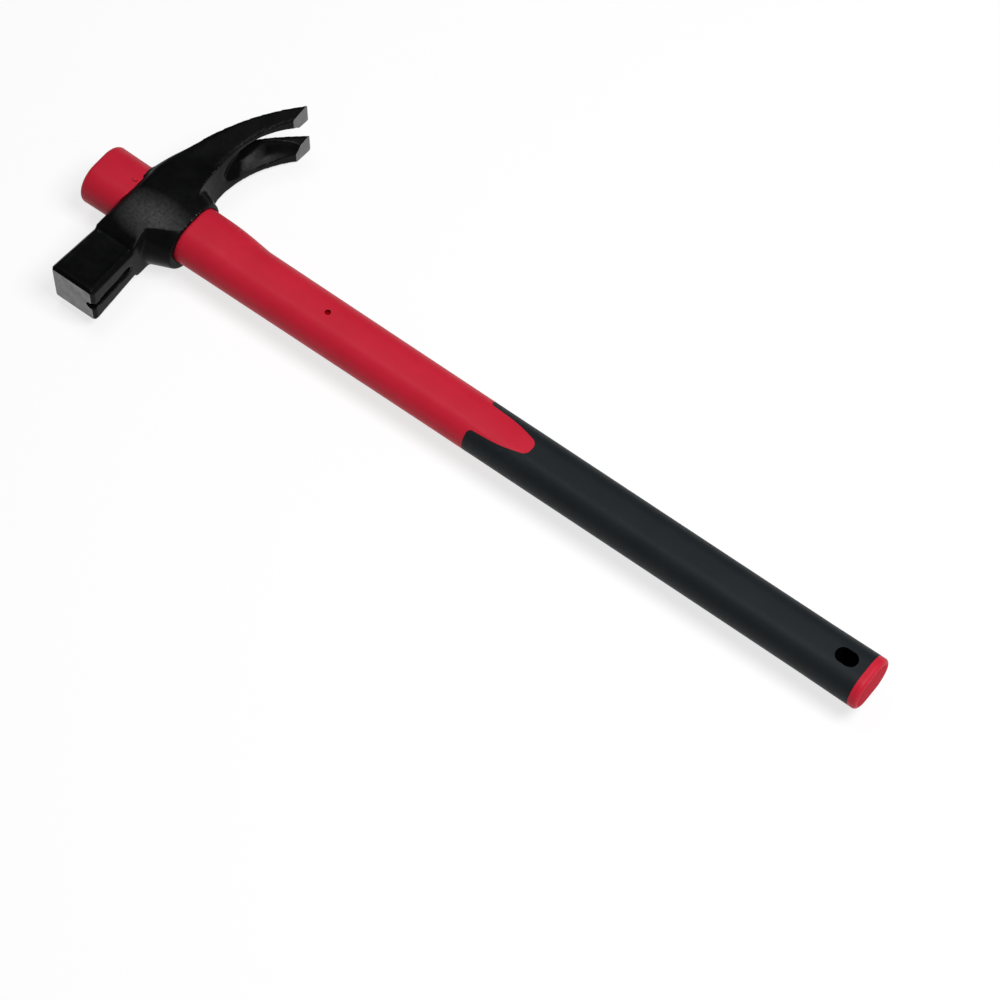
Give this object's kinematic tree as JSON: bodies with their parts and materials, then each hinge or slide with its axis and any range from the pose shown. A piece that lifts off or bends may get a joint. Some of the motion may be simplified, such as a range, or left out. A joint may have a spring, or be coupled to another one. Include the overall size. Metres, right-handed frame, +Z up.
{
  "type": "framing hammer",
  "caption": "Claw framing hammer with a forged black steel head on a red moulded handle that runs through the eye, with a black soft grip and a hanging slot.",
  "frame": {"origin": "middle of the part's box, on the table under the lower claw tip", "axes": "+X down the handle to the butt, +Y to the claw, +Z up out of the upper cheek; the hammer lies on its cheek"},
  "size_m": [0.4714, 0.1486, 0.0384],
  "materials": {
    "head_lacquer": "glossy black lacquer over forged steel, bare ground steel on the striking face and claw tips",
    "magnet_metal": "nickel-plated",
    "core_fibreglass": "pultruded glass fibre and resin",
    "shell_red": "satin moulded red",
    "grip_black": "matt soft grip"
  },
  "bodies": {
    "root": {"hammer_head": "head_lacquer", "nail_magnet": "magnet_metal", "handle_core": "core_fibreglass", "handle_shell": "shell_red", "grip_sleeve": "grip_black"}
  },
  "joints": []
}
